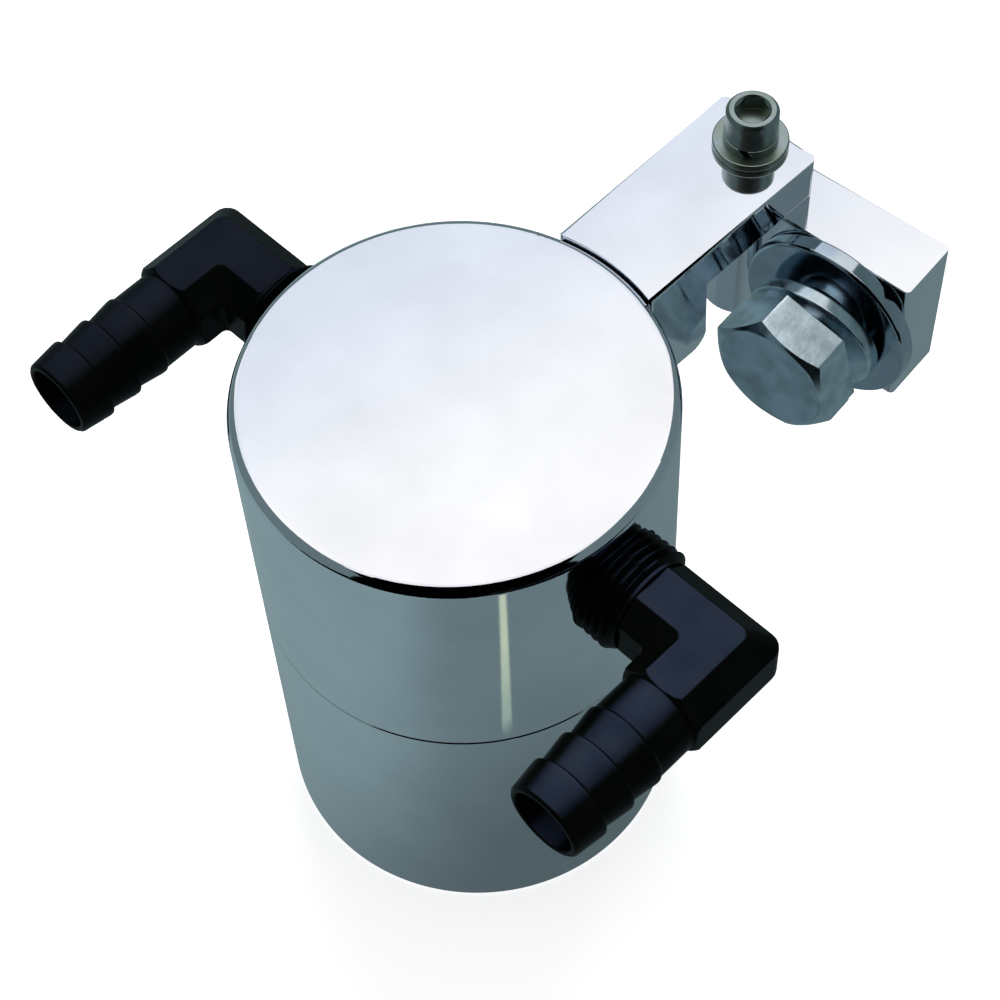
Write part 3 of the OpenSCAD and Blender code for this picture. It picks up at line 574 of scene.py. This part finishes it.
def elbow_rings(side):
    """Rings from the thread's small end along the port's axis, round the mitred bend, to the hose tip
    and back through the bore. A section point (o, z), o towards the outside of the bend, lies at
    (x, o, z) on the first leg, (HOSE_X + o, -t, z) on the second, and on the bend between at
    (HOSE_X + o - R + R sin b, o - R + R cos b, z), where R grows towards the outside."""
    corner = math.degrees(math.atan2(BODY_FLAT, BODY_R))
    angles = corner_rich([90 * k + s * corner for k in range(4) for s in (-1, 1)], 90)
    slant = (BODY_R + BODY_FLAT) / math.sqrt(2)
    octagon = many_sided(angles, np.arange(8) * 45.0, np.tile([BODY_R, slant], 4), BODY_SHARP)
    ones = np.ones_like(angles)

    def port_leg(x, r):
        return np.stack([x * ones, r * np.cos(angles), r * np.sin(angles)], axis=-1)

    def bend(turn, r):
        o = r * np.cos(angles)
        round_r = BEND_R * (1 + BEND_MORE * np.maximum(o, 0) / BODY_R)
        return np.stack([HOSE_X + o - round_r + round_r * math.sin(turn),
                         o - round_r + round_r * math.cos(turn), r * np.sin(angles)], axis=-1)

    def hose_leg(t, r):
        return np.stack([HOSE_X + r * np.cos(angles), -t * ones, r * np.sin(angles)], axis=-1)

    taper_l = TAPER_TURNS * TAPER_PITCH
    plug_x = BODY_X - COLLAR - taper_l
    rings = []
    for x in np.linspace(0, taper_l, 12 * TAPER_TURNS + 1):
        crest = TAPER_R - (taper_l - x) * TAPER
        share = thread_depth(x / TAPER_PITCH - side * angles / (2 * math.pi))
        ends = max(1 - x / PLUG_LEAD, (x - taper_l + THREAD_RUNOUT) / THREAD_RUNOUT, 0)
        rings.append(port_leg(plug_x + x, crest - TAPER_DEEP * np.maximum(share, ends)))
    collar_r = TAPER_R - TAPER_DEEP
    rings += [port_leg(BODY_X - COLLAR_EDGE, collar_r * ones),
              port_leg(BODY_X, (collar_r - COLLAR_EDGE) * ones), port_leg(BODY_X, octagon - EDGE),
              port_leg(BODY_X + EDGE / 3, octagon - EDGE / 3), port_leg(BODY_X + EDGE, octagon)]
    turns = np.radians([0, 18, 36, 54, 72, 90])
    rings += [bend(turn, octagon) for turn in turns]
    for step in np.linspace(0, 1, 8):
        limit = NECK + ARCH_LOW + ARCH_RISE * (1 - step) ** ARCH_POWER
        rings.append(hose_leg(BODY_REACH - ARCH_LONG * (1 - step), np.minimum(octagon, limit)))
    barbs = [(NECK + BARB_EASE, BODY_REACH), (NECK, BODY_REACH + NECK_EDGE)]
    for k in range(3):
        foot = NECK if k == 0 else BARB_ROOT
        start = BODY_REACH + NECK_LONG + k * BARB_PITCH
        barbs += [(foot, start), (BARB_TOP, start + BARB_STEP), (BARB_TOP, start + BARB_STEP + BARB_LAND)]
    barbs += [(BARB_TIP, TIP_Y - TIP_EDGE), (BARB_TIP - TIP_EDGE, TIP_Y), (BORE_R + BORE_EDGE, TIP_Y),
              (BORE_R, TIP_Y - BORE_EDGE)]
    rings += [hose_leg(t, r * ones) for r, t in eased(barbs, BARB_EASE)]
    rings += [bend(turn, BORE_R * ones) for turn in turns[::-1]]
    rings.append(port_leg(plug_x, BORE_R * ones))
    points = np.stack(rings)
    points[..., 2] += PORT_Z
    points[..., 0] *= side
    return points


# Where the painted sheen on the nylon's up-facing faces sets in and where it is full, by the rise of the
# normal.
PAINTED_SHEEN_FROM, PAINTED_SHEEN_FULL = 0.80, 0.99


def plastic_finish(name, painted_sheen_share):
    """Satin black nylon with a fine moulded grain, and a blue-grey sheen painted into the colour of the
    faces that look up.
    This painted sheen stands in for light from above; it sets in where the normal's rise passes the lower
    sheen limit set above."""
    finish, nodes, links, shader = new_finish(name)
    shader.inputs["Specular IOR Level"].default_value = 0.035
    where = nodes.new("ShaderNodeTexCoord")
    split = nodes.new("ShaderNodeSeparateXYZ")
    up = nodes.new("ShaderNodeMapRange")
    up.interpolation_type = "SMOOTHSTEP"
    up.inputs["From Min"].default_value = PAINTED_SHEEN_FROM
    up.inputs["From Max"].default_value = PAINTED_SHEEN_FULL
    tone = nodes.new("ShaderNodeMix")
    tone.data_type = "RGBA"
    black = placed(nodes, TONE, Clean_Color=(0.0012, 0.0020, 0.0016, 1),
                   Stained_Color=(0.003, 0.0035, 0.003, 1), Cloud_Scale=150.0)
    # Painted sheen: a lighter blue-grey base colour on up-facing faces, standing in for light caught from
    # above.
    painted_sheen = placed(nodes, TONE, Clean_Color=darker((0.014, 0.021, 0.042), painted_sheen_share),
                   Stained_Color=darker((0.024, 0.033, 0.056), painted_sheen_share), Cloud_Scale=150.0)
    links.new(where.outputs["Normal"], split.inputs[0])
    links.new(split.outputs["Z"], up.inputs["Value"])
    links.new(up.outputs["Result"], tone.inputs["Factor"])
    links.new(black.outputs["Color"], tone.inputs["A"])
    links.new(painted_sheen.outputs["Color"], tone.inputs["B"])
    links.new(tone.outputs["Result"], shader.inputs["Base Color"])
    add_marks(nodes, links, shader, scale=1400.0, gloss=0.26, spread=0.12, bump=0.10)
    return finish


# Two copies of the same nylon: the outlet elbow's painted sheen is kept at 0.35 of the inlet's, as painted
# shade for the less lit fitting.
for node, side, painted_sheen_share in (("inlet_elbow", 1, 1.0), ("outlet_elbow", -1, 0.35)):
    elbow = ringed_piece(node + "_dressed", elbow_rings(side), node, joined=True)
    dress(elbow, plastic_finish(node + "_nylon", painted_sheen_share), "can_body")

# Baffle cartridge and seal
# Inside the can: an aluminium drop tube, drilled plates and foam, screwed to
# three zinc-plated standoffs, and the rubber ring under the bowl's neck.
PLAIN = metal_finish("plain_aluminium", (0.60, 0.61, 0.63, 1), (0.45, 0.46, 0.48, 1),
                     cloud=90.0, gloss=0.30, spread=0.15, bump=0.2)
ZINC = metal_finish("zinc_plate", (0.66, 0.78, 0.88, 1), (0.36, 0.43, 0.46, 1),
                    cloud=260.0, gloss=0.12, spread=0.16, bump=0.08)
BLACKED = metal_finish("black_oxide", (0.36, 0.42, 0.44, 1), (0.24, 0.30, 0.19, 1),
                       cloud=240.0, gloss=0.20, spread=0.15, bump=0.12)


def dull_finish(name, colour, roughness, scale, bump):
    """Rubber or foam: one colour clouded by a noise, with a bumpy surface."""
    finish, nodes, links, shader = new_finish(name)
    tone = placed(nodes, TONE, Clean_Color=colour, Stained_Color=darker(colour, 0.3), Cloud_Scale=scale)
    links.new(tone.outputs["Color"], shader.inputs["Base Color"])
    add_marks(nodes, links, shader, scale, roughness, spread=0.1, bump=bump, deep=3 * BUMP_DEEP)
    return finish


FOAM = dull_finish("open_foam", (0.05, 0.05, 0.055, 1), roughness=0.85, scale=900.0, bump=1.0)
RUBBER = dull_finish("seal_rubber", (0.012, 0.012, 0.013, 1), roughness=0.5, scale=300.0, bump=0.2)
for node, finish in (("drop_tube", PLAIN), ("top_screen", PLAIN), ("baffle_plate", PLAIN),
                     ("filter_pad", FOAM), ("standoffs", ZINC), ("baffle_screws", ZINC),
                     ("bowl_seal", RUBBER), ("foot_screws", BLACKED)):
    cad = frame["nodes"][node]
    cad.data.materials.clear()
    cad.data.materials.append(finish)

# Bracket arm
# A milled and polished aluminium bar, flush with the can's top, whose foot is
# screwed to the can and whose far end holds the pivot.
BLOCK_EDGE, BLOCK_SHORTEST = 0.6 * MM, 3 * MM
dress(eased_copy("bracket_arm", BLOCK_EDGE, BLOCK_SHORTEST), POLISHED, "can_body")

# Swing link
# A block of polished aluminium that hangs on the pivot screw under the arm's
# end. It is drilled through from front to back for the mounting bolt.
dress(eased_copy("swing_link", BLOCK_EDGE, BLOCK_SHORTEST), POLISHED, "link")

# Pivot screw and its washers
# A socket cap screw of steel, blackened with oxide. It goes down through a lock
# washer, a flat washer and the arm into the link.
for node, edge in (("pivot_screw", 0.12), ("pivot_lock_washer", 0.15), ("pivot_washer", 0.25)):
    dress(eased_copy(node, edge * MM), BLACKED, "link")

# Mounting bolt and its washers
# A zinc-plated hexagon bolt, whose head has its corners turned off at 30
# degrees, an open spring washer that leans on it and a broad flat washer.
BOLT_JOINT = next(joint for joint in frame["joints"] if joint["name"] == "bolt_spin")
BOLT_PLACE = np.array(BOLT_JOINT["pos_m"])
BOLT_ALONG = np.array(BOLT_JOINT["axis"])
BOLT_SIDE = np.array([BOLT_ALONG[1], -BOLT_ALONG[0], 0.0])
SHANK_R = 6.0 * MM
HEAD_FLAT_R = 9.5 * MM
HEAD_TALL = 7.5 * MM
HEAD_FACE_R = 0.95 * HEAD_FLAT_R
HEAD_FACE_EDGE, HEAD_FACE_SLOPE = 0.02 * MM, math.tan(math.radians(30))
HEAD_BAND, HEAD_BAND_STEP, HEAD_BAND_EDGE = 1.7 * MM, 0.15 * MM, 0.1 * MM
HEAD_TURN, HEAD_SHARP = 14.5, 150.0
NECK_FILLET = 0.3 * MM
BOLT_LONG = 25.0 * MM
BOLT_PITCH, BOLT_THREAD_DEEP, BOLT_CREST_R, BOLT_END_CUT = 1.75 * MM, 1.0 * MM, 5.88 * MM, 1.4 * MM
BOLT_THREAD_START, BOLT_RUNOUT = -2.0 * MM, 1.0 * MM
FLAT_SEAT, WASHER_SLACK = -6.2 * MM, 0.2 * MM
SPRING_IN, SPRING_OUT, SPRING_THICK, SPRING_TALL = 6.5 * MM, 10.55 * MM, 2.5 * MM, 5.0 * MM
SPRING_SWEEP, SPRING_START = math.radians(352), math.radians(160)
SPRING_LEAN, SPRING_TOWARD = math.radians(11), math.radians(55)
SPRING_BLUNT = 0.22


def on_bolt(points):
    """Puts points (x, y, z) about the bolt into the frame: x along the link, z along the bolt, y down."""
    return BOLT_PLACE + points[..., :1] * BOLT_SIDE + points[..., 2:] * BOLT_ALONG \
        - points[..., 1:2] * np.array([0, 0, 1.0])


def spring_rise(share, r):
    """Height of the wire's lower face: a steady climb along the turn, plus the lean
    r tan(lean) cos(a - toward)."""
    turn = SPRING_START - SPRING_SWEEP * share
    return (SPRING_TALL - SPRING_THICK) * share + r * math.tan(SPRING_LEAN) * np.cos(turn - SPRING_TOWARD)


SPRING_EDGES = spring_rise(np.linspace(0, 1, 61)[:, None], np.array([SPRING_IN, SPRING_OUT]))
HEAD_SEAT = FLAT_SEAT - 2 * WASHER_SLACK - SPRING_EDGES.max() - SPRING_THICK + SPRING_EDGES.min()


def spring_rings():
    """Rounded square wire, (w sign(cos s) |cos s|^k, h sign(sin s) |sin s|^k), wound as one left-hand
    turn and closed by a pole at each end."""
    share = np.linspace(0, 1, 181)[:, None]
    s = np.linspace(0, 2 * math.pi, 48, endpoint=False)
    half_w, half_h, blunt = (SPRING_OUT - SPRING_IN) / 2, SPRING_THICK / 2, SPRING_BLUNT
    r = (SPRING_OUT + SPRING_IN) / 2 + half_w * np.sign(np.cos(s)) * np.abs(np.cos(s)) ** blunt
    up = half_h + half_h * np.sign(np.sin(s)) * np.abs(np.sin(s)) ** blunt
    turn = SPRING_START - SPRING_SWEEP * share
    z = up + spring_rise(share, r) + HEAD_SEAT + WASHER_SLACK - SPRING_EDGES.min()
    rings = np.stack([r * np.cos(turn), r * np.sin(turn), z], axis=-1)
    ends = [np.broadcast_to(ring.mean(axis=0), ring.shape)[None] for ring in (rings[0], rings[-1])]
    return on_bolt(np.concatenate([ends[0], rings, ends[1]]))


def bolt_rings():
    """Rings (r(a), z(a)) from the middle of the head's face, down the hexagon's sides and along the
    shank to the thread's end. The face falls off as z = (r - face radius) tan 30."""
    angles = corner_rich([HEAD_TURN + 60 * k for k in range(6)], 90)
    hexagon = many_sided(angles, HEAD_TURN + 30 + np.arange(6) * 60.0, np.full(6, HEAD_FLAT_R), HEAD_SHARP)
    ones = np.ones_like(angles)
    face = HEAD_SEAT - HEAD_TALL
    rows = [(0 * ones, face * ones), (0.97 * HEAD_FACE_R * ones, face * ones),
            (HEAD_FACE_R * ones, (face + HEAD_FACE_EDGE) * ones)]
    for part in np.linspace(0.15, 1, 6):
        r = HEAD_FACE_R + (hexagon - HEAD_FACE_R) * part
        rows.append((r, face + HEAD_FACE_EDGE + (r - HEAD_FACE_R) * HEAD_FACE_SLOPE))
    band = HEAD_SEAT - HEAD_BAND
    rows += [(hexagon, (band - HEAD_BAND_EDGE) * ones), (hexagon - HEAD_BAND_STEP, band * ones),
             (hexagon - HEAD_BAND_STEP, (HEAD_SEAT - HEAD_BAND_STEP) * ones),
             (hexagon - 2 * HEAD_BAND_STEP, HEAD_SEAT * ones),
             ((SHANK_R + NECK_FILLET) * ones, HEAD_SEAT * ones),
             (SHANK_R * ones, (HEAD_SEAT + NECK_FILLET) * ones)]
    end, end_r = HEAD_SEAT + BOLT_LONG, BOLT_CREST_R - BOLT_END_CUT
    rows.append((SHANK_R * ones, (BOLT_THREAD_START - BOLT_RUNOUT) * ones))
    for z in np.arange(BOLT_THREAD_START, end, BOLT_PITCH / 12):
        share = thread_depth(z / BOLT_PITCH - angles / (2 * math.pi))
        rows.append((np.minimum(BOLT_CREST_R - BOLT_THREAD_DEEP * share, end_r + end - z), z * ones))
    rows += [(end_r * ones, end * ones), (0 * ones, end * ones)]
    r, z = (np.stack(v) for v in zip(*rows))
    return on_bolt(lathe_rings((r, z), angles))


dress(ringed_piece("mounting_bolt_dressed", bolt_rings(), "mounting_bolt"), ZINC, "bolt")
dress(ringed_piece("bolt_spring_washer_dressed", spring_rings(), "bolt_spring_washer"), ZINC, "link")
BRIGHT_ZINC = metal_finish("bright_zinc", (0.52, 0.60, 0.68, 1), (0.40, 0.46, 0.52, 1),
                           cloud=200.0, gloss=0.05, spread=0.06, bump=0.08)
dress(eased_copy("bolt_flat_washer", edge=0.0), BRIGHT_ZINC, "link")
